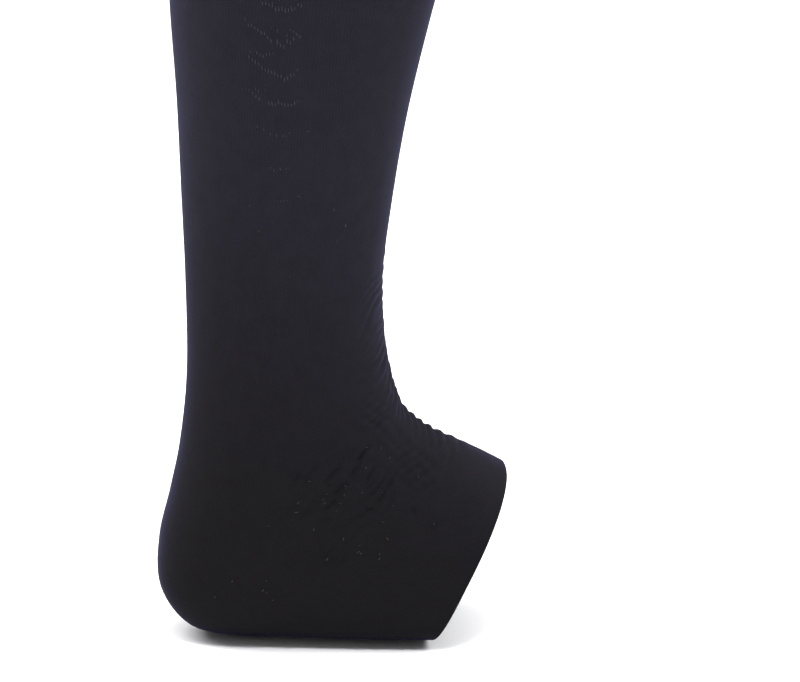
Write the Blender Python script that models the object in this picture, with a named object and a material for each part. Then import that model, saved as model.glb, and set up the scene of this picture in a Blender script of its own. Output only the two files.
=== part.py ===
"""A footless knee-high compression stocking in the hollow form that it has when worn.

The knitted tube is a loft through slanting sections: level ones down the calf, then a fan of them
round the heel to the slanting opening at the middle of the foot. Lengths below are millimetres,
measured forward from the back of the heel and up from the sole. The finished part has its origin
at the centre of the top opening, the toes' side along +X and +Z up.
"""

import math
from collections import namedtuple

import bmesh
import bpy
import numpy as np

MM = 0.001

# Driving sizes of the cloth
WALL = 1.2  # the knitted tube
BAND_WALL = 1.9  # the doubled top band
BAND_HEIGHT = 30.0
BAND_PROUD = 0.35  # how far the band stands out from the tube
HEM_WALL = 2.2  # the turned hem, at its crown
HEM_HEIGHT = 5.0
HEM_PROUD = 0.5  # how far its crown stands out from the tube
HEM_ROLL = 0.7  # how far its two edges are rounded away
SEAM_GAP = 0.3  # between one piece and the next
EDGE_BLEND = 30.0  # over this the rings turn from the hem's line to the sections

# How finely the pieces are faceted
POINTS_AROUND = 32
TUBE_STEP = 9.0  # between rings where the cloth is smooth
FOLD_RINGS = 4  # rings for each fold
BAND_RINGS = 4
HEM_RINGS = 5

# The sections, from the foot opening up to the top edge. Each lies in the plane through its back
# (or sole) point and its front (or instep) point. `widest` is how far from back to front the full
# width lies; the powers say how blunt the two ends are, 2 being an ellipse.
Section = namedtuple(
    "Section",
    "name back_x back_z front_x front_z half_width widest back_power front_power",
)
SECTIONS = (
    Section("foot_opening", 111.8, 0.0, 145.2, 67.6, 38.5, 0.42, 4.4, 2.3),
    Section("midfoot", 91.0, 0.0, 136.0, 73.0, 37.5, 0.43, 4.2, 2.3),
    Section("arch", 69.0, 0.0, 127.3, 77.5, 36.3, 0.44, 3.6, 2.2),
    Section("instep", 49.0, 0.0, 119.3, 80.8, 35.2, 0.45, 3.0, 2.2),
    Section("sole_of_heel", 30.0, 0.0, 112.6, 84.2, 34.5, 0.47, 2.6, 2.2),
    Section("under_heel", 12.0, 4.5, 107.9, 87.9, 34.5, 0.49, 2.5, 2.2),
    Section("heel_point", 1.0, 20.0, 104.4, 91.3, 34.8, 0.52, 2.5, 2.2),
    Section("back_of_heel", 0.8, 40.0, 101.5, 95.0, 35.2, 0.52, 2.4, 2.2),
    Section("ankle_joint", 5.5, 60.0, 99.5, 100.5, 35.2, 0.50, 2.3, 2.2),
    Section("above_joint", 10.0, 82.0, 97.0, 108.5, 34.4, 0.50, 2.2, 2.2),
    Section("ankle", 13.1, 112.0, 94.1, 125.0, 33.0, 0.50, 2.1, 2.2),
    Section("above_ankle", 13.0, 150.0, 93.6, 150.0, 33.8, 0.50, 2.1, 2.1),
    Section("calf_start", 11.8, 186.0, 97.5, 182.0, 37.2, 0.49, 2.1, 2.1),
    Section("low_calf", 10.4, 226.0, 103.7, 218.0, 43.0, 0.48, 2.1, 2.0),
    Section("mid_calf", 8.0, 268.0, 112.4, 255.0, 50.0, 0.47, 2.1, 2.0),
    Section("full_calf", 8.0, 308.0, 121.8, 290.0, 54.5, 0.47, 2.1, 2.0),
    Section("below_knee", 14.0, 350.0, 130.0, 326.0, 55.0, 0.48, 2.1, 2.0),
    Section("band_foot", 24.5, 381.0, 135.8, 357.0, 52.8, 0.49, 2.1, 2.0),
    Section("top_edge", 32.7, 411.0, 140.5, 387.0, 51.3, 0.50, 2.1, 2.0),
)

# The largest folds, lying across the front of the ankle where the foot bends up. `up_front` is
# the distance along the front line from the foot opening, `reach` the half angle it spans.
Fold = namedtuple("Fold", "up_front height width reach")
FOLDS = (
    Fold(26.6, 0.6, 5.6, 52),
    Fold(32.0, 1.0, 5.2, 58),
    Fold(37.0, 1.2, 4.8, 64),
    Fold(41.6, 1.2, 4.6, 68),
    Fold(46.3, 0.9, 4.6, 60),
    Fold(51.2, 0.7, 4.8, 70),
    Fold(71.0, 0.5, 4.4, 52),
    Fold(76.4, 0.7, 4.8, 58),
    Fold(82.0, 0.5, 4.6, 50),
)
FOLD_SHARE_INSIDE = 0.5  # how much of a fold's height the inner face follows

CLOTH_COLOUR = (0.022, 0.022, 0.028, 1.0)
CLOTH_ROUGHNESS = 0.85

TABLE = np.array([section[1:] for section in SECTIONS])
LAST_PLACE = len(SECTIONS) - 1
ANGLES = np.arange(POINTS_AROUND) * 2 * math.pi / POINTS_AROUND  # from the front midline


def section_at(places):
    """The sections at places counted in rows of the table, on smooth curves through the rows."""
    places = np.asarray(places, dtype=float)
    low = np.clip(places.astype(int), 0, LAST_PLACE - 1)
    f = (places - low)[..., None]
    before, a, b, after = (TABLE[np.clip(low + k, 0, LAST_PLACE)] for k in (-1, 0, 1, 2))
    return 0.5 * (
        2 * a
        + (b - before) * f
        + (2 * before - 5 * a + 4 * b - after) * f**2
        + (3 * a - before - 3 * b + after) * f**3
    )


def face_points(places):
    """Points of the cloth's outer face for a grid of places, a row for each ring."""
    back_x, back_z, front_x, front_z, half, widest, back_power, front_power = np.moveaxis(
        section_at(places), -1, 0
    )
    c, s = np.cos(ANGLES)[None, :], np.sin(ANGLES)[None, :]
    ahead = c >= 0
    power = np.where(ahead, front_power, back_power)
    middle_x = back_x + widest * (front_x - back_x)
    middle_z = back_z + widest * (front_z - back_z)
    along = np.abs(c) ** (2 / power)
    across = np.sign(s) * np.abs(s) ** (2 / power)
    x = middle_x + along * (np.where(ahead, front_x, back_x) - middle_x)
    z = middle_z + along * (np.where(ahead, front_z, back_z) - middle_z)
    return np.stack([x, across * half, z], axis=-1)


def level(place):
    """One place, repeated for every angle."""
    return np.full(POINTS_AROUND, float(place))


FINE_PLACES = np.linspace(0, LAST_PLACE, 901)
FINE_POINTS = face_points(np.array([level(place) for place in FINE_PLACES]))
FINE_STEPS = np.linalg.norm(np.diff(FINE_POINTS, axis=0), axis=2)
FINE_LENGTHS = np.vstack([level(0), np.cumsum(FINE_STEPS, axis=0)])
FULL_LENGTH = FINE_LENGTHS[-1, 0]  # along the front line, where the angle is 0


def place_of(up_front):
    """The place of a distance up the front line."""
    return float(np.interp(up_front, FINE_LENGTHS[:, 0], FINE_PLACES))


def places_beside_opening(distance):
    """For each angle, the place that far from the foot opening along the cloth."""
    return np.array(
        [np.interp(distance, FINE_LENGTHS[:, k], FINE_PLACES) for k in range(POINTS_AROUND)]
    )


def normals_of(rings):
    """Unit normals of a grid of rings, pointing out of the tube."""
    around = np.roll(rings, -1, axis=1) - np.roll(rings, 1, axis=1)
    along = np.gradient(rings, axis=0)
    normals = np.cross(around, along)
    return normals / np.linalg.norm(normals, axis=2, keepdims=True)


def fold_relief(places):
    """How far the folds lift the cloth at each ring and angle."""
    up_front = np.interp(places, FINE_PLACES, FINE_LENGTHS[:, 0])
    degrees = np.degrees(ANGLES)
    from_front = np.minimum(degrees, 360.0 - degrees)[None, :]
    relief = np.zeros(places.shape)
    for fold in FOLDS:
        across = np.clip(np.abs(up_front - fold.up_front) / (fold.width / 2), 0, 1)
        crest = 0.5 + 0.5 * np.cos(math.pi * across)
        fade = np.cos(np.clip(from_front / fold.reach, 0, 1) * math.pi / 2) ** 2
        relief += fold.height * crest * fade
    return relief


def ring_lengths(start, end):
    """The distances up the front where rings are placed, close together over the folds."""
    marks = {start, end}
    for fold in FOLDS:
        marks.update(fold.up_front + fold.width * (k / FOLD_RINGS - 0.5) for k in range(FOLD_RINGS))
    marks = sorted(mark for mark in marks if start <= mark <= end)
    lengths = [marks[0]]
    for a, b in zip(marks, marks[1:]):
        count = max(1, math.ceil((b - a) / TUBE_STEP))
        lengths += [a + (b - a) * k / count for k in range(1, count + 1)]
    return np.array(lengths)


def tube_mesh(outer, inner):
    """A closed wall between two grids of rings, the outer face and the inner one."""
    mesh = bmesh.new()
    skins = [[[mesh.verts.new(point) for point in ring] for ring in grid] for grid in (outer, inner)]
    strips = list(zip(skins[0], skins[0][1:])) + list(zip(skins[1], skins[1][1:]))
    strips += [(skins[0][row], skins[1][row]) for row in (0, -1)]
    for one, other in strips:
        for k in range(POINTS_AROUND):
            after = (k + 1) % POINTS_AROUND
            mesh.faces.new((one[k], one[after], other[after], other[k]))
    bmesh.ops.recalc_face_normals(mesh, faces=mesh.faces)
    return mesh


def cloth_material(name):
    material = bpy.data.materials.new(name)
    material.use_nodes = True
    shader = material.node_tree.nodes["Principled BSDF"]
    shader.inputs["Base Color"].default_value = CLOTH_COLOUR
    shader.inputs["Roughness"].default_value = CLOTH_ROUGHNESS
    shader.inputs["Metallic"].default_value = 0.0
    return material


def add_cloth(name, outer, inner):
    """One piece of cloth as an object, moved so that the origin is the top opening's centre."""
    top = SECTIONS[-1]
    centre = np.array([(top.back_x + top.front_x) / 2, 0.0, (top.back_z + top.front_z) / 2])
    solid = tube_mesh((outer - centre) * MM, (inner - centre) * MM)
    data = bpy.data.meshes.new(name)
    solid.to_mesh(data)
    solid.free()
    data.shade_smooth()
    data.set_sharp_from_angle(angle=math.radians(50))
    data.materials.append(cloth_material(name))
    piece = bpy.data.objects.new(name, data)
    bpy.context.scene.collection.objects.link(piece)


def make_stocking(start, end):
    """The knitted tube, between the foot hem and the top band."""
    lengths = ring_lengths(start, end)
    turned = places_beside_opening(start) - place_of(start)
    blend = np.clip(1 - (lengths - start) / EDGE_BLEND, 0, 1) ** 2
    places = np.array([level(place_of(length)) for length in lengths])
    places += blend[:, None] * turned[None, :]
    rings = face_points(places)
    normals = normals_of(rings)
    relief = fold_relief(places)[:, :, None]
    outer = rings + normals * relief
    inner = rings + normals * (relief * FOLD_SHARE_INSIDE - WALL)
    add_cloth("stocking", outer, inner)


def make_top_band(start, end):
    """The doubled band, a plain ring that stands a little proud of the tube."""
    lengths = np.linspace(start, end, BAND_RINGS)
    rings = face_points(np.array([level(place_of(length)) for length in lengths]))
    normals = normals_of(rings)
    add_cloth("top_band", rings + normals * BAND_PROUD, rings + normals * (BAND_PROUD - BAND_WALL))


def make_foot_hem(end):
    """The turned hem: a ring of even width along the opening, its outer face rounded off."""
    distances = np.linspace(0, end, HEM_RINGS)
    rings = face_points(np.array([places_beside_opening(distance) for distance in distances]))
    normals = normals_of(rings)
    round_off = np.abs(2 * distances / end - 1) ** 2.5
    outer = rings + normals * (HEM_PROUD - HEM_ROLL * round_off)[:, None, None]
    add_cloth("foot_hem", outer, rings + normals * (HEM_PROUD - HEM_WALL))


def main():
    for old in list(bpy.data.objects):
        bpy.data.objects.remove(old)
    band_start = FULL_LENGTH - BAND_HEIGHT
    make_foot_hem(HEM_HEIGHT)
    make_stocking(HEM_HEIGHT + SEAM_GAP, band_start - SEAM_GAP)
    make_top_band(band_start, FULL_LENGTH)


main()
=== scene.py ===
# %% [markdown]
# # A footless compression stocking
# A compression stocking is a tube of very elastic yarn, knitted round and round on one machine with no
# side seam. It is tightest at the ankle. This one is knee-high and near-black, with a heel pouch, and it
# ends in a slanting hem at the middle of the foot, so the toes stay free. Worn, it takes the form of
# the leg, and the cloth bunches in small creases where the foot bends up.
#
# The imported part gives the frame: where the origin is, how big everything is, and which solids the
# pieces below stand for. Everything here is placed inside its box.

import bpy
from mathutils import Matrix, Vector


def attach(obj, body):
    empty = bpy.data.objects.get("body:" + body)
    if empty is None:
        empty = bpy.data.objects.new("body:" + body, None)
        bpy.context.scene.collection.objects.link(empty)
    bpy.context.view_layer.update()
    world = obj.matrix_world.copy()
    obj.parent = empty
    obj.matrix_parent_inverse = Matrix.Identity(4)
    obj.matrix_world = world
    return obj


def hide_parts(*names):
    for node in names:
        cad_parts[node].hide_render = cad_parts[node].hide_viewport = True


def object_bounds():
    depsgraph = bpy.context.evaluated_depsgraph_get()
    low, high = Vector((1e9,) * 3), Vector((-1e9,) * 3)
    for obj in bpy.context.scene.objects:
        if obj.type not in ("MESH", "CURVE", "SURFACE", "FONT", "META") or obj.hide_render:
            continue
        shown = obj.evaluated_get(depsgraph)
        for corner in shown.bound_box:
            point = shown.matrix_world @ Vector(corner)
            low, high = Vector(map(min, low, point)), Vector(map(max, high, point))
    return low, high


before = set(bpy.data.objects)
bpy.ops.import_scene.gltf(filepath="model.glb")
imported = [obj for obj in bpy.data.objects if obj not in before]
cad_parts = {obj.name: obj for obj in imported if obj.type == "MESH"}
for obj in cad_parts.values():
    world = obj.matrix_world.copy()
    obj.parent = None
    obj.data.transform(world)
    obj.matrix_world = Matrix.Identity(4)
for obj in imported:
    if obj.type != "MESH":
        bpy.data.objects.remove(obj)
CAD_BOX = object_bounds()

# %% Modules
import math
from collections import namedtuple

import bmesh
import bpy
import numpy as np
from mathutils import Vector
from mathutils.bvhtree import BVHTree

# %% [markdown]
# ## The form: a table of sections
# A stocking has no flat pattern pieces, so its form is best told by sections. Each row is one slice of
# the worn tube, in millimetres forward from the back of the heel and up from the sole. The slices are
# level on the calf, and they fan out round the heel as the knitting does. Between the rows the form
# follows smooth curves. A loft like this is easier to read and to change than a sculpted mesh.

# %% The sections
# `widest` is how far from back to front a slice is at its widest, as a share. A power of 2 makes a half
# of a slice elliptic, and a higher one makes it squarer, as under the flat of the foot.
MM = 0.001
Section = namedtuple(
    "Section", "name back_x back_z front_x front_z half_width widest back_power front_power"
)
SECTIONS = (
    Section("foot_opening", 111.8, 0.0, 145.2, 67.6, 38.5, 0.42, 4.4, 2.3),
    Section("midfoot", 91.0, 0.0, 136.0, 73.0, 37.5, 0.43, 4.2, 2.3),
    Section("arch", 69.0, 0.0, 127.3, 77.5, 36.3, 0.44, 3.6, 2.2),
    Section("instep", 49.0, 0.0, 119.3, 80.8, 35.2, 0.45, 3.0, 2.2),
    Section("sole_of_heel", 30.0, 0.0, 112.6, 84.2, 34.5, 0.47, 2.6, 2.2),
    Section("under_heel", 12.0, 4.5, 107.9, 87.9, 34.5, 0.49, 2.5, 2.2),
    Section("heel_point", 1.0, 20.0, 104.4, 91.3, 34.8, 0.52, 2.5, 2.2),
    Section("back_of_heel", 0.8, 40.0, 101.5, 95.0, 35.2, 0.52, 2.4, 2.2),
    Section("ankle_joint", 5.5, 60.0, 99.5, 100.5, 35.2, 0.50, 2.3, 2.2),
    Section("above_joint", 10.0, 82.0, 97.0, 108.5, 34.4, 0.50, 2.2, 2.2),
    Section("ankle", 13.1, 112.0, 94.1, 125.0, 33.0, 0.50, 2.1, 2.2),
    Section("above_ankle", 13.0, 150.0, 93.6, 150.0, 33.8, 0.50, 2.1, 2.1),
    Section("calf_start", 11.8, 186.0, 97.5, 182.0, 37.2, 0.49, 2.1, 2.1),
    Section("low_calf", 10.4, 226.0, 103.7, 218.0, 43.0, 0.48, 2.1, 2.0),
    Section("mid_calf", 8.0, 268.0, 112.4, 255.0, 50.0, 0.47, 2.1, 2.0),
    Section("full_calf", 8.0, 308.0, 121.8, 290.0, 54.5, 0.47, 2.1, 2.0),
    Section("below_knee", 14.0, 350.0, 130.0, 326.0, 55.0, 0.48, 2.1, 2.0),
    Section("band_foot", 24.5, 381.0, 135.8, 357.0, 52.8, 0.49, 2.1, 2.0),
    Section("top_edge", 32.7, 411.0, 140.5, 387.0, 51.3, 0.50, 2.1, 2.0),
)
TABLE = np.array([section[1:] for section in SECTIONS])
LAST_PLACE = len(SECTIONS) - 1
top = SECTIONS[-1]
ORIGIN = np.array([(top.back_x + top.front_x) / 2, 0.0, (top.back_z + top.front_z) / 2])
print(len(SECTIONS), "sections; the frame's origin is at", ORIGIN, "mm from the heel and the sole")


# %% Points of the cloth
def section_at(places):
    """The sections at places counted in rows of the table, on smooth curves through the rows."""
    places = np.asarray(places, dtype=float)
    low = np.clip(places.astype(int), 0, LAST_PLACE - 1)
    f = (places - low)[..., None]
    before, a, b, after = (TABLE[np.clip(low + k, 0, LAST_PLACE)] for k in (-1, 0, 1, 2))
    return 0.5 * (
        2 * a
        + (b - before) * f
        + (2 * before - 5 * a + 4 * b - after) * f**2
        + (3 * a - before - 3 * b + after) * f**3
    )


def cloth_points(places, angles):
    """Points of the smooth cloth in mm, for places in the table and angles from the front midline."""
    back_x, back_z, front_x, front_z, half, widest, back_power, front_power = np.moveaxis(
        section_at(places), -1, 0
    )
    c, s = np.cos(angles), np.sin(angles)
    ahead = c >= 0
    power = np.where(ahead, front_power, back_power)
    middle_x = back_x + widest * (front_x - back_x)
    middle_z = back_z + widest * (front_z - back_z)
    along = np.abs(c) ** (2 / power)
    across = np.sign(s) * np.abs(s) ** (2 / power)
    x = middle_x + along * (np.where(ahead, front_x, back_x) - middle_x)
    z = middle_z + along * (np.where(ahead, front_z, back_z) - middle_z)
    return np.stack([x, across * half, z], axis=-1)


def normals_of(grid):
    """Unit normals of a grid of rings, pointing out of the tube."""
    around = np.roll(grid, -1, axis=1) - np.roll(grid, 1, axis=1)
    normals = np.cross(around, np.gradient(grid, axis=0))
    return normals / np.maximum(np.linalg.norm(normals, axis=2, keepdims=True), 1e-9)


# %% [markdown]
# ## Measuring along the cloth
# Hems and creases are placed by how far along the cloth they lie, as with a tape measure. So the length
# of every line from the foot opening to the top edge is added up once, on a fine grid, and looked up
# afterwards. An angle of 0 is the front midline, and half a turn is the back.

# %% Lengths along the cloth
COLUMNS = 330  # points round the outer face of the tube
ANGLES = np.arange(COLUMNS) * 2 * math.pi / COLUMNS
FINE_PLACES = np.linspace(0, LAST_PLACE, 901)
fine_points = cloth_points(FINE_PLACES[:, None], ANGLES[None, :])
fine_steps = np.linalg.norm(np.diff(fine_points, axis=0), axis=2)
FINE_LENGTHS = np.vstack([np.zeros(COLUMNS), np.cumsum(fine_steps, axis=0)])
FULL_LENGTH = FINE_LENGTHS[-1, 0]


def place_of(up_front):
    """The place of a distance up the front line from the foot opening."""
    return np.interp(up_front, FINE_LENGTHS[:, 0], FINE_PLACES)


def places_at(distance):
    """For each column, the place that far from the foot opening along the cloth."""
    return np.array([np.interp(distance, FINE_LENGTHS[:, k], FINE_PLACES) for k in range(COLUMNS)])


print(f"front line {FULL_LENGTH:.0f} mm, back line {FINE_LENGTHS[-1, COLUMNS // 2]:.0f} mm")

# %% [markdown]
# ## Creases, placed one by one
# Elastic cloth that bends bunches into short soft ridges with sharp valleys between them. The largest
# lie across the instep. Smaller ones climb the front of the ankle, and others run down and back over
# both sides to below the ankle. Each has its own row: no two are alike in height, width, reach or lean.
# A physics simulation would scatter such small creases anywhere, so a table is the better tool here.

# %% Ridges across the front
Ridge = namedtuple("Ridge", "up_front height width outer_reach inner_reach lean")
RIDGES = (  # mm; lean is how far a ridge slips toward the foot for each mm round the side
    Ridge(20.6, 0.25, 5.4, 14, 17, 0.10),
    Ridge(26.4, 0.80, 6.0, 19, 22, 0.16),
    Ridge(32.0, 1.25, 5.4, 23, 20, 0.22),
    Ridge(37.1, 1.50, 5.0, 25, 27, 0.28),
    Ridge(41.7, 1.40, 4.4, 29, 24, 0.36),
    Ridge(46.1, 1.20, 4.6, 25, 31, 0.44),
    Ridge(50.8, 0.90, 4.8, 32, 27, 0.50),
    Ridge(55.3, 0.70, 4.2, 29, 25, 0.52),
    Ridge(59.2, 0.60, 3.8, 24, 31, 0.55),
    Ridge(63.2, 0.68, 4.2, 33, 26, 0.55),
    Ridge(67.1, 0.58, 3.6, 23, 24, 0.52),
    Ridge(71.0, 0.76, 4.3, 28, 22, 0.48),
    Ridge(74.7, 0.56, 3.3, 20, 27, 0.42),
    Ridge(78.4, 0.78, 4.2, 31, 21, 0.38),
    Ridge(82.3, 0.64, 3.7, 19, 28, 0.34),
    Ridge(86.2, 0.52, 4.1, 28, 19, 0.28),
    Ridge(89.9, 0.64, 3.4, 18, 25, 0.24),
    Ridge(93.5, 0.52, 3.9, 26, 17, 0.20),
    Ridge(97.6, 0.44, 4.2, 17, 23, 0.16),
    Ridge(101.8, 0.48, 3.9, 24, 19, 0.12),
    Ridge(106.4, 0.34, 4.6, 16, 22, 0.10),
    Ridge(112.0, 0.30, 4.8, 20, 15, 0.08),
    Ridge(119.5, 0.20, 5.2, 15, 18, 0.06),
)


def ridge_relief(up_front, around):
    """How far the ridges lift the cloth, from its distances up the front line and round the leg."""
    relief = np.zeros(up_front.shape)
    wander = 0.35 * np.sin(around / 3.1 + up_front / 7.0)
    for ridge in RIDGES:
        reach = np.where(around < 0, ridge.outer_reach, ridge.inner_reach)
        crest = ridge.up_front - ridge.lean * np.abs(around) + wander
        across = np.clip(np.abs(up_front - crest) / (ridge.width / 2), 0, 1)
        fade = np.cos(np.clip(np.abs(around) / reach, 0, 1) * math.pi / 2) ** 1.3
        relief += ridge.height * (1 - across**1.7) * fade
    return relief


print(len(RIDGES), "ridges, the highest", max(ridge.height for ridge in RIDGES), "mm")

# %% [markdown]
# The creases on the sides are troughs. They are placed in the side view, by where their middle lies,
# and most of them run down and back like a row of slashes. Round them the cloth crinkles into a fine
# diamond pattern, where two families of small waves cross. Both fade out by listed patches.

# %% Troughs and crinkles on the sides
Trough = namedtuple("Trough", "x z length depth width slope")
TROUGHS = (  # mm from the heel's back and the sole; slope in degrees above level, going forward
    Trough(83.5, 83.0, 8.5, 1.50, 2.1, 47),
    Trough(90.0, 93.5, 9.0, 0.50, 2.5, 42),
    Trough(95.9, 100.2, 9.5, 0.50, 2.6, 40),
    Trough(91.5, 110.5, 8.0, 0.36, 2.5, 36),
    Trough(86.0, 117.0, 9.0, 0.36, 2.7, 30),
    Trough(72.0, 77.0, 8.0, 1.14, 2.1, 38),
    Trough(68.5, 74.0, 7.0, 0.95, 2.0, 36),
    Trough(79.5, 75.5, 9.5, 1.00, 2.1, 48),
    Trough(86.5, 74.0, 8.0, 0.81, 2.0, 52),
    Trough(74.0, 69.5, 10.5, 1.05, 2.1, 42),
    Trough(64.0, 66.0, 8.5, 0.90, 2.0, 34),
    Trough(70.0, 63.0, 9.0, 0.95, 2.1, 40),
    Trough(60.5, 61.0, 7.5, 0.81, 1.9, 28),
    Trough(80.5, 64.5, 7.0, 0.53, 2.0, -42),
    Trough(84.5, 60.5, 8.0, 0.59, 2.0, -36),
    Trough(90.5, 67.0, 6.0, 0.50, 1.9, -48),
    Trough(66.5, 56.5, 8.0, 0.71, 2.0, 30),
    Trough(94.9, 69.2, 5.0, 0.81, 2.0, 58),
    Trough(73.5, 53.5, 6.5, 0.61, 1.9, 26),
    Trough(103.9, 58.6, 3.5, 0.81, 2.1, 60),
    Trough(111.9, 52.6, 3.0, 0.71, 2.1, 40),
    Trough(56.0, 75.5, 5.0, 0.66, 2.0, 24),
    Trough(50.0, 80.5, 6.0, 0.53, 2.1, 18),
)
Patch = namedtuple("Patch", "x z half_x half_z depth")
PATCHES = (  # ovals placed like the troughs; depth in mm, before the two patterns weaken it
    Patch(77.0, 68.0, 28.0, 21.0, 2.00),
    Patch(91.0, 95.0, 15.0, 19.0, 1.15),
    Patch(108.0, 74.0, 20.0, 13.0, 1.30),
    Patch(90.0, 127.0, 10.0, 34.0, 0.85),
    Patch(32.0, 22.0, 17.0, 9.0, 0.60),
    Patch(70.0, 42.0, 27.0, 15.0, 1.10),
)
INNER_SIDE_SHIFT = (4.0, -3.0)  # the far side has the same kind of creases, a little elsewhere
WAVE_SLASH = 3.8  # mm between the small waves that run down and back
WAVE_BACKSLASH = 4.7  # mm between those that cross them
WAVE_MEAN = 0.64  # a round wave's mean height, taken off so that crinkles do not swell the cloth


def trough_relief(x, z):
    """How far the side troughs sink the cloth."""
    relief = np.zeros(x.shape)
    for trough in TROUGHS:
        slope = math.radians(trough.slope)
        dx, dz = x - trough.x, z - trough.z
        along = dx * math.cos(slope) + dz * math.sin(slope)
        across = dz * math.cos(slope) - dx * math.sin(slope) + 0.02 * along**2
        fade = np.clip(1 - (2 * along / trough.length) ** 2, 0, 1)
        valley = np.exp(-((across / (0.42 * trough.width)) ** 2))
        shoulder = np.exp(-(((np.abs(across) - 0.9 * trough.width) / (0.5 * trough.width)) ** 2))
        relief += trough.depth * fade * (0.45 * shoulder - valley)
    return relief


def crinkle_relief(x, z):
    """The fine diamond crinkle: two crossing families of round waves with sharp valleys between."""
    bend = 1.5 * np.sin(x / 5.3 + z / 9.1) + 1.1 * np.sin(z / 4.1 - x / 11.0)
    slash = np.abs(np.sin(math.pi * (0.66 * x - 0.75 * z + bend) / WAVE_SLASH)) - WAVE_MEAN
    backslash = np.abs(np.sin(math.pi * (0.70 * x + 0.71 * z - 0.7 * bend) / WAVE_BACKSLASH)) - WAVE_MEAN
    here = 0.55 + 0.45 * np.sin(x / 3.1 + 0.7) * np.sin(z / 4.3 + 1.9) + 0.35 * np.sin(x / 8.3 - z / 6.7)
    there = 0.50 + 0.50 * np.sin(x / 4.7 + 2.1) * np.sin(z / 2.9) + 0.35 * np.sin(x / 6.1 + z / 7.7)
    pattern = 0.80 * np.clip(here, 0, 1.2) * slash + 0.35 * np.clip(there, 0, 1.2) * backslash
    strength = np.zeros(x.shape)
    for patch in PATCHES:
        far = ((x - patch.x) / patch.half_x) ** 2 + ((z - patch.z) / patch.half_z) ** 2
        strength = np.maximum(strength, patch.depth * np.clip(1 - far, 0, 1) ** 0.8)
    return strength * pattern


print(len(TROUGHS), "troughs a side and", len(PATCHES), "crinkled patches")

# %% [markdown]
# ## Relief over the whole tube
# Ridges, troughs and crinkles are added up here. Up the calf the cloth is stretched smooth, so nothing
# is added there. The sides take the troughs, and the front takes the ridges. Where creases cross, they
# must not cut through the wall, so the deepest places level out short of its inner face.

# %% All the relief together
SIDE_FROM = 18.0  # mm from the midplane: from here outwards the cloth is fully on the side
FRONT_CRINKLE = 0.35  # the share of the crinkle that is left at the front and the back
SOFT_DEPTH = 0.50  # mm below the smooth cloth, where valleys start to level out
DEEPEST = 0.92  # mm below it, where they end


def cloth_relief(points, up_front, around):
    """The height of the outer face over the smooth cloth, in mm, at each point of a grid."""
    inner = points[..., 1] > 0
    x = points[..., 0] - np.where(inner, INNER_SIDE_SHIFT[0], 0)
    z = points[..., 2] - np.where(inner, INNER_SIDE_SHIFT[1], 0)
    on_side = np.clip(np.abs(points[..., 1]) / SIDE_FROM, 0, 1) ** 2
    relief = ridge_relief(up_front, around)
    relief += on_side * trough_relief(x, z)
    relief += (FRONT_CRINKLE + (1 - FRONT_CRINKLE) * on_side) * crinkle_relief(x, z)
    deep = np.minimum(relief + SOFT_DEPTH, 0) / (DEEPEST - SOFT_DEPTH)
    return np.maximum(relief, -SOFT_DEPTH) + (DEEPEST - SOFT_DEPTH) * np.tanh(deep)


# %% [markdown]
# ## The knitted tube
# The wall has an outer face with all the creases, a plain inner face, and two rims. The rings are close
# together where the creases are, and further apart up the calf. Every point also gets a place on the
# knit: how far round, as a share of the whole turn, and how far along, in mm. The finish counts its
# wales (the upright columns of loops) on the first and its courses (the rows) on the second.

# %% Building a wall from two grids
WALL = 1.2  # the cloth is this thick, in mm
INNER_SHARE = 5  # outer columns to each inner one
KNIT_MAP = "knit"


def shares_round(ring):
    """How far round the ring each point lies: 0 at the first, and 1 on coming back to it."""
    steps = np.linalg.norm(np.roll(ring, -1, axis=0) - ring, axis=1)
    return np.concatenate([[0.0], np.cumsum(steps)]) / steps.sum()


def add_face(mesh, layer, corners, places):
    """One face, with its corners' places on the knit."""
    face = mesh.faces.new(corners)
    face.smooth = True
    for loop, place in zip(face.loops, places):
        loop[layer].uv = place


def linked_object(name, mesh):
    """An object in the scene from a finished bmesh, which is then freed."""
    data = bpy.data.meshes.new(name)
    mesh.to_mesh(data)
    mesh.free()
    made = bpy.data.objects.new(name, data)
    bpy.context.scene.collection.objects.link(made)
    return made


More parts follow.
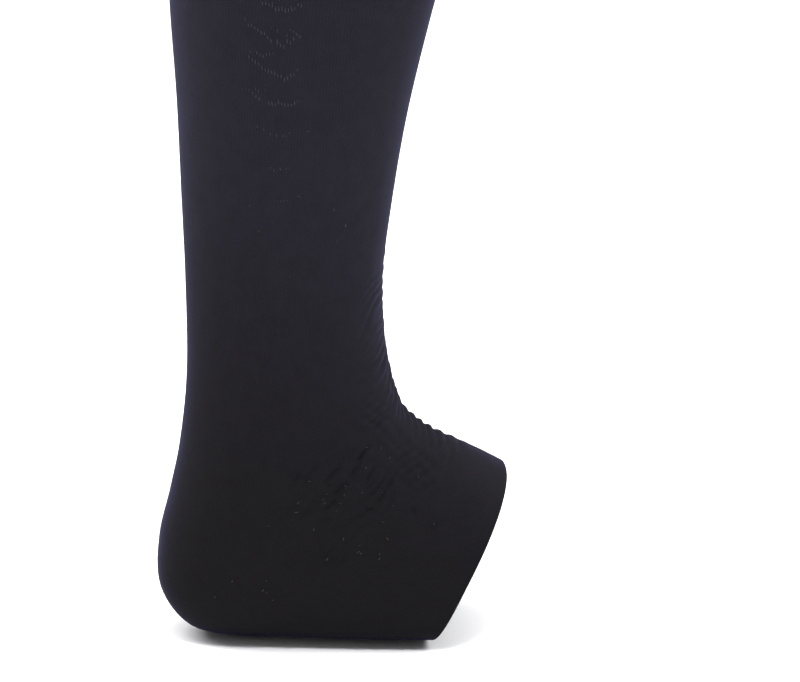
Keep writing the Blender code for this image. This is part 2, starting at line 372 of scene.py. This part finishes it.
def wall_object(name, outer, inner, shares, run):
    """A closed wall from grids in mm. `shares` and `run` place the outer grid on the knit map."""
    mesh = bmesh.new()
    layer = mesh.loops.layers.uv.new(KNIT_MAP)
    rows, columns = outer.shape[:2]
    inner_count = inner.shape[1]
    share = columns // inner_count
    face = [[mesh.verts.new((p - ORIGIN) * MM) for p in ring] for ring in outer]
    back = [[mesh.verts.new((p - ORIGIN) * MM) for p in ring] for ring in inner]
    for i in range(rows - 1):
        for k in range(columns):
            n = (k + 1) % columns
            corners = (face[i][k], face[i][n], face[i + 1][n], face[i + 1][k])
            near, far = shares[i], shares[i + 1]
            places = ((near[k], run[i]), (near[k + 1], run[i]),
                      (far[k + 1], run[i + 1]), (far[k], run[i + 1]))
            add_face(mesh, layer, corners, places)
    inner_run = np.linspace(run[0], run[-1], len(back))
    for i in range(len(back) - 1):
        for k in range(inner_count):
            n = (k + 1) % inner_count
            u, w = k / inner_count, (k + 1) / inner_count
            a, b = inner_run[i], inner_run[i + 1]
            corners = (back[i][k], back[i + 1][k], back[i + 1][n], back[i][n])
            add_face(mesh, layer, corners, ((u, a), (u, b), (w, b), (w, a)))
    for row, at, turn in ((0, run[0], 1), (-1, run[-1], -1)):
        for k in range(inner_count):
            n = (k + 1) % inner_count
            span = [(k * share + j) % columns for j in range(share + 1)]
            corners = [back[row][k], back[row][n]] + [face[row][j] for j in reversed(span)]
            us = [k, k + 1] + [k + j / share for j in range(share, -1, -1)]
            places = [(u / inner_count, at) for u in us]
            add_face(mesh, layer, corners[::turn], places[::turn])
    return linked_object(name, mesh)


# %% The stocking's own grids
HEM_HEIGHT = 5.0
BAND_HEIGHT = 30.0
TUCK = 0.6  # the tube's ends slip this far under the hem and the band
FINE_STEP, PLAIN_STEP = 0.6, 3.4  # mm between rings, up to the ankle and above it
FINE_UP_TO = 122.0
EDGE_BLEND = 30.0  # over this the rings turn from the hem's line to the sections
LINING_STEP = 4  # outer rings to each inner one
RELIEF_FADE = 4.0  # mm over which creases die out toward the hem and the band
TUBE_START = HEM_HEIGHT - TUCK
TUBE_END = FULL_LENGTH - BAND_HEIGHT + TUCK

fine_count = round((FINE_UP_TO - TUBE_START) / FINE_STEP)
plain_count = round((TUBE_END - FINE_UP_TO) / PLAIN_STEP)
lengths = np.concatenate([
    np.linspace(TUBE_START, FINE_UP_TO, fine_count, endpoint=False),
    np.linspace(FINE_UP_TO, TUBE_END, plain_count + 1),
])
turned = places_at(TUBE_START) - place_of(TUBE_START)
blend = np.clip(1 - (lengths - TUBE_START) / EDGE_BLEND, 0, 1) ** 2
tube_places = place_of(lengths)[:, None] + blend[:, None] * turned[None, :]
smooth_tube = cloth_points(tube_places, ANGLES[None, :])
tube_normals = normals_of(smooth_tube)

steps_round = np.linalg.norm(np.roll(smooth_tube, -1, axis=1) - smooth_tube, axis=2)
distance_round = np.cumsum(steps_round, axis=1) - steps_round
girth = steps_round.sum(axis=1, keepdims=True)
AROUND = np.where(ANGLES[None, :] <= math.pi, distance_round, distance_round - girth)
UP_FRONT = np.interp(tube_places, FINE_PLACES, FINE_LENGTHS[:, 0])
print(f"{len(lengths)} rings of {COLUMNS} points; girth {girth.min():.0f} mm at its least, "
      f"{girth.max():.0f} mm at its most")

# %% The stocking piece
relief = cloth_relief(smooth_tube, UP_FRONT, AROUND)
ends = np.minimum(lengths - TUBE_START, TUBE_END - lengths)
relief *= np.clip((ends - TUCK) / RELIEF_FADE, 0, 1)[:, None]
outer_face = smooth_tube + tube_normals * relief[:, :, None]
lining_rows = np.unique(np.append(np.arange(0, len(lengths), LINING_STEP), len(lengths) - 1))
inner_face = (smooth_tube - tube_normals * WALL)[lining_rows][:, ::INNER_SHARE]
knit_shares = np.array([shares_round(ring) for ring in smooth_tube])
stocking = wall_object("stocking_knit", outer_face, inner_face, knit_shares, lengths)
print("stocking:", len(stocking.data.polygons), "faces; relief", relief.min().round(2), "to",
      relief.max().round(2), "mm")

# %% [markdown]
# ## Hem and top band
# The hem at the foot opening is the edge of the tube turned in and knitted down, so it is twice as
# thick and rounded like a piping. The top band is a doubled welt of the same yarn. Both are
# one profile carried round the edge: a short list of points that says how far along the cloth and how
# far out of it each point lies. A closed profile swept round a closed line gives a closed solid.

# %% Sweeping a profile along an edge
Turn = namedtuple("Turn", "along out")


def swept_object(name, profile, places_for):
    """A closed ring with one profile all round, in mm along the cloth and out of it."""
    rows = []
    for turn in profile:
        near = [cloth_points(places_for(turn.along + d), ANGLES) for d in (-0.5, 0.0, 0.5)]
        rows.append(near[1] + turn.out * normals_of(np.array(near))[1])
    mesh = bmesh.new()
    layer = mesh.loops.layers.uv.new(KNIT_MAP)
    verts = [[mesh.verts.new((p - ORIGIN) * MM) for p in row] for row in rows]
    count = len(rows)
    steps = [math.dist(profile[i], profile[(i + 1) % count]) for i in range(count)]
    run = np.concatenate([[0.0], np.cumsum(steps)])
    shares = shares_round(rows[0])
    for i in range(count):
        j = (i + 1) % count
        for k in range(COLUMNS):
            n = (k + 1) % COLUMNS
            u, w = shares[k], shares[k + 1]
            corners = (verts[i][k], verts[i][n], verts[j][n], verts[j][k])
            add_face(mesh, layer, corners, ((u, run[i]), (w, run[i]), (w, run[i + 1]), (u, run[i + 1])))
    bmesh.ops.recalc_face_normals(mesh, faces=mesh.faces)
    return linked_object(name, mesh)


def places_from_top(distance):
    """For each column, the place that far above the band's lower edge, on parallel rings."""
    return np.full(COLUMNS, place_of(np.clip(FULL_LENGTH - BAND_HEIGHT + distance, 0, FULL_LENGTH)))


def rounded(along_centre, out_centre, radius_along, radius_out, start, stop, count):
    """Points of an elliptic arc, from one angle to another in degrees."""
    angles = np.radians(np.linspace(start, stop, count))
    return [Turn(along_centre + radius_along * math.cos(a), out_centre + radius_out * math.sin(a))
            for a in angles]


# %% The foot hem
HEM_WALL = 2.2
HEM_PROUD = 0.15
hem_profile = [Turn(HEM_HEIGHT + 0.5, -0.05), Turn(HEM_HEIGHT + 0.3, -0.02)]
hem_profile += [Turn(HEM_HEIGHT - 0.6, 0.08)]
hem_profile += rounded(1.0, HEM_PROUD - HEM_WALL / 2, 0.9, HEM_WALL / 2, 80, 280, 13)
hem_profile += [Turn(HEM_HEIGHT - 0.3, -WALL - 0.35), Turn(HEM_HEIGHT + 0.5, -WALL - 0.1)]
foot_hem = swept_object("foot_hem_knit", hem_profile, lambda d: places_at(max(d, 0.0)))
print("foot hem:", len(foot_hem.data.polygons), "faces")

# %% The top band
BAND_WALL = 1.9
BAND_PROUD = 0.35
band_profile = [Turn(-0.1, -0.05), Turn(0.5, 0.22), Turn(1.6, BAND_PROUD)]
band_profile += [Turn(d, BAND_PROUD) for d in np.linspace(4.0, BAND_HEIGHT - 2.5, 10)]
band_profile += rounded(BAND_HEIGHT - 0.9, BAND_PROUD - BAND_WALL / 2, 0.9, BAND_WALL / 2, 75, -75, 9)
band_profile += [Turn(d, BAND_PROUD - BAND_WALL) for d in np.linspace(BAND_HEIGHT - 2.5, 1.6, 10)]
band_profile += [Turn(0.5, -WALL - 0.1), Turn(-0.1, -0.9)]
top_band = swept_object("top_band_knit", band_profile, places_from_top)
print("top band:", len(top_band.data.polygons), "faces")

# %% [markdown]
# ## Finishes
# The cloth is one yarn throughout: nylon wound round elastane, dyed almost black with a blue cast. Its
# fine matt filaments scatter light sideways, so the edges of the form glow a dusky violet while the
# middle stays dark. A sheen layer gives that. The knit itself is too fine to model, so it is drawn by
# arithmetic on the knit map: wales side by side, each a column of V-shaped loops.


# %% Helpers for colours and nodes
MATH = "ShaderNodeMath"


def linear(hex_code):
    """An sRGB hex colour as linear RGBA."""
    channels = [int(hex_code[i:i + 2], 16) / 255 for i in (1, 3, 5)]
    return [c / 12.92 if c <= 0.04045 else ((c + 0.055) / 1.055) ** 2.4 for c in channels] + [1.0]


def add_node(tree, kind, inputs=None, **settings):
    """A new node with its settings. Each input is a value for its socket, or an output to link."""
    node = tree.nodes.new(kind)
    for setting, value in settings.items():
        setattr(node, setting, value)
    for socket, value in (inputs or {}).items():
        if isinstance(value, bpy.types.NodeSocket):
            tree.links.new(value, node.inputs[socket])
        else:
            node.inputs[socket].default_value = value
    return node


def new_material(name, values):
    """A new material, with values for its shader's own sockets."""
    material = bpy.data.materials.new(name)
    material.use_nodes = True
    shader = material.node_tree.nodes["Principled BSDF"]
    for socket, value in values.items():
        shader.inputs[socket].default_value = value
    return material, material.node_tree, shader


# %% Knitted elastic yarn
# Dyed nylon over elastane, knitted plain. Stretched cloth on the calf is a little lighter and bluer
# than the denser cloth of the heel and foot, and the leg colour also holds painted sheen and light that
# fade toward the heel and foot. The darker groove colour is painted shade between wales and loops.
# The matt yarn gives a soft edge and no gloss. Wales are about 1 mm apart at the ankle. Courses are
# drawn coarser than real ones, so that they show.
Knit = namedtuple("Knit", "wales course foot leg groove depth")  # wales all round; course, depth in mm
BODY_KNIT = Knit(236, 1.25, "#161517", "#222129", "#0c0b0e", 0.12)
BAND_KNIT = Knit(320, 1.05, "#222129", "#222129", "#0c0b0e", 0.16)
HEM_KNIT = Knit(236, 1.05, "#161517", "#222129", "#0c0b0e", 0.08)
SHEEN_TINT = "#726cd0"
SHEEN_ROUGHNESS = 0.32
HEEL_TO_LEG = (-0.375, -0.200)  # m: the heights over which the cloth turns from heel to leg colour


def knit_material(name, knit):
    """Plain-knitted cloth: grooves between wales, V-shaped loops along them, two shades of dyed cloth
    with painted sheen and light in the paler one, and painted shade in the grooves.
    """
    material, tree, shader = new_material(name, {
        "Roughness": 0.85, "Specular IOR Level": 0.05, "Sheen Weight": 0.10,
        "Sheen Roughness": SHEEN_ROUGHNESS, "Sheen Tint": linear(SHEEN_TINT)})
    place = add_node(tree, "ShaderNodeUVMap", uv_map=KNIT_MAP)
    split = add_node(tree, "ShaderNodeSeparateXYZ", {0: place.outputs["UV"]})
    spot = add_node(tree, "ShaderNodeTexCoord")
    waver = add_node(tree, "ShaderNodeTexNoise", {"Vector": spot.outputs["Object"], "Scale": 140.0,
                                                  "Detail": 2.0})
    # each wale rises in its middle, and falls to a groove on both sides
    wale = add_node(tree, MATH, {0: split.outputs["X"], 1: knit.wales}, operation="MULTIPLY")
    turn = add_node(tree, MATH, {0: wale.outputs[0], 1: 2 * math.pi}, operation="MULTIPLY")
    rise = add_node(tree, MATH, {0: turn.outputs[0]}, operation="COSINE")
    ridge = add_node(tree, MATH, {0: rise.outputs[0], 1: 0.5, 2: 0.5}, operation="MULTIPLY_ADD")
    # along it the loops repeat, pulled into a V by their distance from the wale's middle
    pull = add_node(tree, MATH, {0: wale.outputs[0], 1: 0.5}, operation="PINGPONG")
    course = add_node(tree, MATH, {0: split.outputs["Y"], 1: 1 / knit.course, 2: pull.outputs[0]},
                      operation="MULTIPLY_ADD")
    beat = add_node(tree, MATH, {0: course.outputs[0], 1: 2 * math.pi}, operation="MULTIPLY")
    loop = add_node(tree, MATH, {0: beat.outputs[0]}, operation="COSINE")
    loop_part = add_node(tree, MATH, {0: loop.outputs[0], 1: 0.22, 2: 0.78},
                         operation="MULTIPLY_ADD")
    knit_height = add_node(tree, MATH, {0: ridge.outputs[0], 1: loop_part.outputs[0]},
                           operation="MULTIPLY")
    # no two loops are drawn up quite alike
    uneven = add_node(tree, "ShaderNodeTexNoise", {"Vector": spot.outputs["Object"], "Scale": 620.0,
                                                   "Detail": 3.0})
    height = add_node(tree, MATH, {0: uneven.outputs["Fac"], 1: 0.9, 2: knit_height.outputs[0]},
                      operation="MULTIPLY_ADD")
    bump = add_node(tree, "ShaderNodeBump", {"Height": height.outputs[0], "Strength": 0.24,
                                             "Distance": knit.depth * MM})
    # colour: heel to leg, slanting so that the instep counts as higher and takes the leg's painted
    # sheen, and darker in the grooves as painted shade
    body = add_node(tree, "ShaderNodeSeparateXYZ", {0: spot.outputs["Object"]})
    slant = add_node(tree, MATH, {0: body.outputs["X"], 1: 0.5, 2: body.outputs["Z"]},
                     operation="MULTIPLY_ADD")
    up_leg = add_node(tree, "ShaderNodeMapRange", {
        "Value": slant.outputs[0], "From Min": HEEL_TO_LEG[0], "From Max": HEEL_TO_LEG[1]},
        interpolation_type="SMOOTHSTEP")
    # painted sheen and light: the paler, bluer leg colour stands for them as well as for stretched cloth
    dye_and_painted_sheen = add_node(tree, "ShaderNodeMix", {0: up_leg.outputs[0], 6: linear(knit.foot),
                                           7: linear(knit.leg)}, data_type="RGBA")
    # painted shade: where the knit lies low the colour goes toward the groove colour; the noise adds
    # tone that differs at random
    patchy = add_node(tree, MATH, {0: waver.outputs["Fac"], 1: 0.32, 2: 0.37},
                      operation="MULTIPLY_ADD")
    lit = add_node(tree, MATH, {0: height.outputs[0], 1: 0.18, 2: patchy.outputs[0]},
                   operation="MULTIPLY_ADD", use_clamp=True)
    colour = add_node(tree, "ShaderNodeMix", {0: lit.outputs[0], 6: linear(knit.groove),
                                              7: dye_and_painted_sheen.outputs[2]}, data_type="RGBA")
    tree.links.new(colour.outputs[2], shader.inputs["Base Color"])
    tree.links.new(bump.outputs["Normal"], shader.inputs["Normal"])
    return material


for piece, title, knit in (
    (stocking, "plain-knitted elastane and nylon", BODY_KNIT),
    (top_band, "doubled elastic welt", BAND_KNIT),
    (foot_hem, "turned knitted hem", HEM_KNIT),
):
    piece.data.materials.append(knit_material(title, knit))
    print(piece.name, "is finished as", title)

# %% [markdown]
# ## Small yarns, made with Geometry Nodes
# A few yarns stand out of the plain knit: short floats that show on the calf in shallow arcs, single
# pulled loops, the fine ribs of the top band, and the linking stitches at its lower edge. They are all
# the same thing, a bit of yarn lying on the cloth, repeated many times. So one node tree makes them: it
# puts a small rounded rod on every point of a mesh, turned along the cloth. The points carry the
# directions.

# %% The tree that lays yarns on points
YARN_INPUTS = (
    ("Points", "NodeSocketGeometry"), ("Length", "NodeSocketFloat"), ("Width", "NodeSocketFloat"),
    ("Height", "NodeSocketFloat"), ("Bluntness", "NodeSocketFloat"), ("Steps", "NodeSocketInt"),
    ("Finish", "NodeSocketMaterial"),
)


def yarn_tree():
    """The node tree that puts a small rounded rod on every point, turned along the cloth."""
    tree = bpy.data.node_groups.new("yarns on points", "GeometryNodeTree")
    for title, kind in YARN_INPUTS:
        tree.interface.new_socket(name=title, in_out="INPUT", socket_type=kind)
    tree.interface.new_socket(name="Yarns", in_out="OUTPUT", socket_type="NodeSocketGeometry")
    given = add_node(tree, "NodeGroupInput").outputs
    # the rod's thickness: full in the middle, rounded off toward both ends
    along = add_node(tree, "GeometryNodeSplineParameter")
    centred = add_node(tree, MATH, {0: along.outputs["Factor"], 1: 2.0, 2: -1.0},
                       operation="MULTIPLY_ADD")
    apart = add_node(tree, MATH, {0: centred.outputs[0]}, operation="ABSOLUTE")
    steep = add_node(tree, MATH, {0: apart.outputs[0], 1: given["Bluntness"]}, operation="POWER")
    left = add_node(tree, MATH, {0: 1.0, 1: steep.outputs[0]}, operation="SUBTRACT")
    bulk = add_node(tree, MATH, {0: left.outputs[0], 1: 0.02}, operation="MAXIMUM")
    radius = add_node(tree, MATH, {0: bulk.outputs[0]}, operation="SQRT")
    line = add_node(tree, "GeometryNodeCurvePrimitiveLine", {"Start": (0, 0, -0.5), "End": (0, 0, 0.5)})
    stepped = add_node(tree, "GeometryNodeResampleCurve", {"Curve": line.outputs["Curve"],
                                                           "Count": given["Steps"]})
    circle = add_node(tree, "GeometryNodeCurvePrimitiveCircle", {"Resolution": 6, "Radius": 0.5})
    rod = add_node(tree, "GeometryNodeCurveToMesh", {
        "Curve": stepped.outputs["Curve"], "Profile Curve": circle.outputs["Curve"],
        "Scale": radius.outputs[0], "Fill Caps": True})
    # its direction: along the cloth first, then its flat side out of the cloth
    lie = add_node(tree, "GeometryNodeInputNamedAttribute", {"Name": "lie"}, data_type="FLOAT_VECTOR")
    out = add_node(tree, "GeometryNodeInputNamedAttribute", {"Name": "out"}, data_type="FLOAT_VECTOR")
    size = add_node(tree, "GeometryNodeInputNamedAttribute", {"Name": "size"}, data_type="FLOAT")
    laid = add_node(tree, "FunctionNodeAlignRotationToVector", {"Vector": lie.outputs[0]}, axis="Z")
    faced = add_node(tree, "FunctionNodeAlignRotationToVector",
                     {"Rotation": laid.outputs[0], "Vector": out.outputs[0]}, axis="Y", pivot_axis="Z")
    extent = add_node(tree, "ShaderNodeCombineXYZ", {0: given["Width"], 1: given["Height"],
                                                     2: given["Length"]})
    sized = add_node(tree, "ShaderNodeVectorMath", {0: extent.outputs[0], 3: size.outputs[0]},
                     operation="SCALE")
    placed = add_node(tree, "GeometryNodeInstanceOnPoints", {
        "Points": given["Points"], "Instance": rod.outputs["Mesh"], "Rotation": faced.outputs[0],
        "Scale": sized.outputs[0]})
    real = add_node(tree, "GeometryNodeRealizeInstances", {"Geometry": placed.outputs[0]})
    soft = add_node(tree, "GeometryNodeSetShadeSmooth", {"Geometry": real.outputs[0]})
    done = add_node(tree, "GeometryNodeSetMaterial", {"Geometry": soft.outputs[0],
                                                      "Material": given["Finish"]})
    add_node(tree, "NodeGroupOutput", {"Yarns": done.outputs[0]})
    return tree


YARN_TREE = yarn_tree()
print(YARN_TREE.name, "has", len(YARN_TREE.nodes), "nodes")

# %% From points to a plain mesh
Spot = namedtuple("Spot", "at lie out size")


def yarns_object(name, spots, finish, **sizes):
    """Yarns on a list of spots (places in metres), as one plain mesh."""
    data = bpy.data.meshes.new(name + "_points")
    data.from_pydata([tuple(spot.at) for spot in spots], [], [])
    for field in ("lie", "out"):
        attribute = data.attributes.new(field, "FLOAT_VECTOR", "POINT")
        attribute.data.foreach_set("vector", [c for spot in spots for c in getattr(spot, field)])
    attribute = data.attributes.new("size", "FLOAT", "POINT")
    attribute.data.foreach_set("value", [spot.size for spot in spots])
    points = bpy.data.objects.new(name + "_points", data)
    bpy.context.scene.collection.objects.link(points)
    modifier = points.modifiers.new("yarns", "NODES")
    modifier.node_group = YARN_TREE
    sockets = {s.name: s.identifier for s in YARN_TREE.interface.items_tree if s.in_out == "INPUT"}
    modifier[sockets["Finish"]] = finish
    for title, value in sizes.items():
        modifier[sockets[title]] = value
    evaluated = points.evaluated_get(bpy.context.evaluated_depsgraph_get())
    mesh = bpy.data.meshes.new_from_object(evaluated)
    for stale in list(mesh.attributes):
        if stale.name in Spot._fields:
            mesh.attributes.remove(stale)
    piece = bpy.data.objects.new(name, mesh)
    bpy.context.scene.collection.objects.link(piece)
    bpy.data.objects.remove(points)
    print(f"{name}: {len(spots)} yarns, {len(mesh.polygons)} faces")
    return piece


# %% Yarn finish
def yarn_material(name, hex_code, sheen_weight):
    """Dyed filament yarn where it lies straight: a fine twist, and a little more shine. A given colour
    lighter than the cloth's is a painted glint.
    """
    material, tree, shader = new_material(name, {
        "Roughness": 0.6, "Specular IOR Level": 0.3, "Sheen Weight": sheen_weight,
        "Sheen Roughness": SHEEN_ROUGHNESS, "Sheen Tint": linear(SHEEN_TINT)})
    spot = add_node(tree, "ShaderNodeTexCoord")
    twist = add_node(tree, "ShaderNodeTexNoise", {"Vector": spot.outputs["Object"], "Scale": 900.0,
                                                  "Detail": 2.0})
    tone = add_node(tree, "ShaderNodeMix", {0: twist.outputs["Fac"], 6: linear("#0c0c0f"),
                                            7: linear(hex_code)}, data_type="RGBA")
    bump = add_node(tree, "ShaderNodeBump", {"Height": twist.outputs["Fac"], "Strength": 0.4,
                                             "Distance": 0.1 * MM})
    tree.links.new(tone.outputs[2], shader.inputs["Base Color"])
    tree.links.new(bump.outputs["Normal"], shader.inputs["Normal"])
    return material


# %% [markdown]
# ### Floats on the calf
# On both sides of the calf a few courses carry loose floats. They catch the light as rows of upright
# ticks that hang in shallow arcs, the lower ones fainter. Each tick is found by looking at the leg
# from the side and asking where a straight line first meets the cloth.

# %% Floats on the calf
Arc = namedtuple("Arc", "x z reach_back reach_ahead sag strength")
ARCS = (  # mm from the heel's back and the sole; each is a row of ticks, lowest near its middle
    Arc(50.5, 190.5, 3.0, 3.0, 1.0, 0.45),
    Arc(50.0, 204.0, 4.0, 4.0, 1.5, 0.55),
    Arc(49.5, 218.0, 10.0, 4.0, 4.5, 0.65),
    Arc(51.0, 231.0, 12.0, 8.0, 4.0, 0.90),
    Arc(43.0, 236.5, 8.0, 2.0, 1.0, 0.60),
    Arc(51.5, 242.5, 14.0, 6.0, 8.0, 1.0),
    Arc(44.0, 251.5, 6.0, 3.0, 2.0, 0.70),
    Arc(51.0, 256.5, 15.0, 7.5, 9.0, 1.0),
    Arc(50.0, 261.5, 4.0, 5.0, 1.0, 0.75),
    Arc(51.0, 270.0, 12.0, 8.0, 6.0, 1.0),
    Arc(46.0, 275.0, 8.0, 12.0, 2.0, 0.90),
    Arc(52.0, 283.0, 15.0, 9.0, 8.0, 0.90),
    Arc(53.0, 296.0, 13.0, 9.0, 6.0, 0.70),
)
TICK_SPACING = 1.25
TICK_JITTER = 0.55  # mm up or down
SKIPPED = 0.2  # the share of ticks left out
EYE = 0.2  # m from the midplane, well outside the cloth
cloth_tree = BVHTree.FromObject(stocking, bpy.context.evaluated_depsgraph_get())
rng = np.random.default_rng(11)


def seen_on_cloth(x, z, side):
    """Where a straight line from the side first meets the cloth, and the cloth's normal there."""
    eye = Vector(((x - ORIGIN[0]) * MM, side * EYE, (z - ORIGIN[2]) * MM))
    at, normal, _, _ = cloth_tree.ray_cast(eye, Vector((0, -side, 0)))
    return at, normal


def along_cloth(aim, normal):
    """A direction, laid down into the cloth."""
    return (aim - aim.dot(normal) * normal).normalized()


float_spots = []
for side in (-1, 1):
    for arc in ARCS:
        for step in np.arange(-arc.reach_back, arc.reach_ahead, TICK_SPACING):
            reach = arc.reach_back if step < 0 else arc.reach_ahead
            lift = arc.sag * abs(step / reach) ** 1.3 * (1.0 if step < 0 else 0.5)
            lift += rng.normal(0, TICK_JITTER)
            if rng.random() < SKIPPED:
                continue
            at, normal = seen_on_cloth(arc.x + step, arc.z + lift, side)
            if at is None:
                continue
            up = Vector((-0.1 + rng.normal(0, 0.14), 0, 1))
            size = arc.strength * (1 - 0.3 * abs(step / reach)) * rng.uniform(0.75, 1.1)
            float_spots.append(Spot(at, along_cloth(up, normal), normal, size))
# painted glint: the floats' yarn colour is lighter than the calf's cloth, so the ticks shine like glints
float_yarn = yarn_material("straight nylon float", "#2f2e37", 0.22)
calf_floats = yarns_object("calf_floats", float_spots, float_yarn, Length=2.5 * MM, Width=0.48 * MM,
                           Height=0.36 * MM, Bluntness=2.0, Steps=6)

# %% Pulled loops
# Wear has pulled a few single loops out of the crinkled cloth below the ankle, and a few on the calf.
LoopPatch = namedtuple("LoopPatch", "x z half_x half_z count")
LOOP_PATCHES = (  # ovals placed like the troughs; the count is for one side
    LoopPatch(80.0, 62.0, 38.0, 24.0, 34),
    LoopPatch(32.0, 26.0, 20.0, 10.0, 6),
    LoopPatch(62.0, 200.0, 26.0, 50.0, 9),
)
loop_spots = []
for side in (-1, 1):
    for patch in LOOP_PATCHES:
        for _ in range(patch.count):
            turn, far = rng.uniform(0, 2 * math.pi), math.sqrt(rng.random())
            x = patch.x + patch.half_x * far * math.cos(turn)
            z = patch.z + patch.half_z * far * math.sin(turn)
            at, normal = seen_on_cloth(x, z, side)
            if at is None:
                continue
            aim = Vector((rng.normal(), 0, rng.normal()))
            loop_spots.append(Spot(at, along_cloth(aim, normal), normal, rng.uniform(0.55, 1.2)))
# painted glint: the loops' yarn colour is lighter than the cloth round them, so they show as bright
# specks
loop_yarn = yarn_material("pulled nylon loop", "#27262d", 0.15)
pulled_loops = yarns_object("pulled_loops", loop_spots, loop_yarn, Length=1.4 * MM, Width=0.4 * MM,
                            Height=0.45 * MM, Bluntness=2.0, Steps=6)

# %% [markdown]
# ### Ribs and linking stitches of the band
# The welt is knitted in fine ribs so that it grips, and its lower edge is linked to the tube by a line
# of slanting stitches. Both follow the band all the way round.

# %% Ribs of the band
RIBS = 132
RIB_LENGTH = BAND_HEIGHT - 5.0


def band_spots(count, distance, out, tilt):
    """Spots round the band at one height, leaning by an angle from upright."""
    angles = (np.arange(count) + 0.5) * 2 * math.pi / count
    fine = np.linspace(0, 2 * math.pi, 721)
    start = FULL_LENGTH - BAND_HEIGHT + distance
    row = cloth_points(np.full(fine.shape, place_of(start)), fine)
    steps = np.linalg.norm(np.diff(row, axis=0), axis=1)
    travelled = np.concatenate([[0.0], np.cumsum(steps)])
    even = np.interp(angles / (2 * math.pi) * travelled[-1], travelled, fine)
    low, at, high = (cloth_points(np.full(even.shape, place_of(start + d)), even)
                     for d in (-1.0, 0, 1.0))
    ahead = cloth_points(np.full(even.shape, place_of(start)), even + 0.01)
    spots = []
    for k in range(count):
        up = Vector(high[k] - low[k]).normalized()
        aside = Vector(ahead[k] - at[k]).normalized()
        normal = aside.cross(up).normalized()
        lie = up * math.cos(tilt) + aside * math.sin(tilt)
        spots.append(Spot(Vector((at[k] - ORIGIN) * MM) + normal * out * MM, lie, normal, 1.0))
    return spots


band_yarn = yarn_material("ribbed welt yarn", "#222129", 0.12)
ribs = yarns_object("band_ribs", band_spots(RIBS, BAND_HEIGHT / 2 + 0.3, BAND_PROUD, 0.0), band_yarn,
                    Length=RIB_LENGTH * MM, Width=1.7 * MM, Height=0.7 * MM, Bluntness=14.0, Steps=15)

# %% Linking stitches
LINKS = 150
LINK_TILT = math.radians(38)
link_spots = band_spots(LINKS, 0.7, 0.25, LINK_TILT)
link_spots += band_spots(LINKS, -0.5, 0.1, -LINK_TILT)
links = yarns_object("band_links", link_spots, band_yarn, Length=2.0 * MM, Width=0.7 * MM,
                     Height=0.5 * MM, Bluntness=2.5, Steps=6)

# %% [markdown]
# ## Tying the pieces to the part
# Each piece rides with the part's one body, and the imported solids that the pieces stand for are
# hidden. Compression cloth is knitted about a quarter narrower than the calf, and its back line is
# about a fifteenth shorter than when worn.

# %% Riding, and hiding the imported solids
for piece, slot_name in ((stocking, "knit"), (calf_floats, "knit"), (pulled_loops, "knit"),
                         (top_band, "band"), (ribs, "band"), (links, "band"), (foot_hem, "hem")):
    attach(piece, "root")
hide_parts("stocking")
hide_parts("top_band")
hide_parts("foot_hem")

# %% [markdown]
# ## Floor, light and camera
# The floor is a pale sheet, wide enough to fill the view from any side. A broad light overhead keeps it
# white. Large soft lights on both sides draw the violet edges, and a small one picks out the creases.
# The camera has a long lens. It stands higher than the stocking, turned a little toward the heel, and
# looks down on the foot, so that the frame cuts the leg at the calf.

# %% Floor
SOLE_Z = CAD_BOX[0][2]
FLOOR_DROP = 0.0006  # m below the sole, so that the two never touch
FLOOR_RADIUS = 25.0
floor_mesh = bmesh.new()
bmesh.ops.create_circle(floor_mesh, cap_ends=True, segments=96, radius=FLOOR_RADIUS)
floor = linked_object("floor", floor_mesh)
floor.location.z = SOLE_Z - FLOOR_DROP
paper, _, _ = new_material("pale paper", {
    "Base Color": linear("#f6f6f8"), "Roughness": 0.9, "Specular IOR Level": 0.1})
floor.data.materials.append(paper)

# %% Light
scene = bpy.context.scene
scene.view_settings.view_transform = "Standard"
world = bpy.data.worlds.new("soft studio")
world.use_nodes = True
background = world.node_tree.nodes["Background"]
background.inputs["Color"].default_value = linear("#ffffff")
background.inputs["Strength"].default_value = 0.36
scene.world = world
Lamp = namedtuple("Lamp", "name place aim size power")
LAMPS = (
    Lamp("side_front", (1.2, 0.5, 1.0), (0, 0, -0.1), 1.2, 31.0),
    Lamp("side_back", (-1.2, 0.5, 1.0), (0, 0, -0.1), 1.2, 36.0),
    Lamp("key", (0.0, -0.6, 1.0), (0, 0, -0.3), 0.2, 11.0),
)
for lamp in LAMPS:
    data = bpy.data.lights.new(lamp.name, "AREA")
    data.energy = lamp.power
    data.size = lamp.size
    light = bpy.data.objects.new(lamp.name, data)
    light.location = lamp.place
    light.rotation_euler = (Vector(lamp.aim) - Vector(lamp.place)).to_track_quat("-Z", "Y").to_euler()
    scene.collection.objects.link(light)
overhead_data = bpy.data.lights.new("overhead", "SUN")
overhead_data.energy = 2.6
overhead_data.angle = math.radians(55)
overhead = bpy.data.objects.new("overhead", overhead_data)
overhead.rotation_euler = Vector((0.0, -0.1, 1.0)).to_track_quat("Z", "Y").to_euler()
scene.collection.objects.link(overhead)

# %% Camera
TURN_BACK = 5.0  # degrees round toward the heel
LOOK_DOWN = 15.0
DISTANCE = 1.8
FRAME_WIDTH = 0.3289  # m across the view, where the stocking stands
AIM = Vector((0.0143, 0.0, -0.2769))
camera_data = bpy.data.cameras.new("camera")
camera_data.lens = camera_data.sensor_width * DISTANCE / FRAME_WIDTH
camera = bpy.data.objects.new("camera", camera_data)
turn, down = math.radians(TURN_BACK), math.radians(LOOK_DOWN)
look = Vector((math.sin(turn) * math.cos(down), math.cos(turn) * math.cos(down), -math.sin(down)))
camera.location = AIM - look * DISTANCE
camera.rotation_euler = look.to_track_quat("-Z", "Y").to_euler()
scene.collection.objects.link(camera)
scene.camera = camera
print(f"lens {camera_data.lens:.0f} mm at {DISTANCE} m")
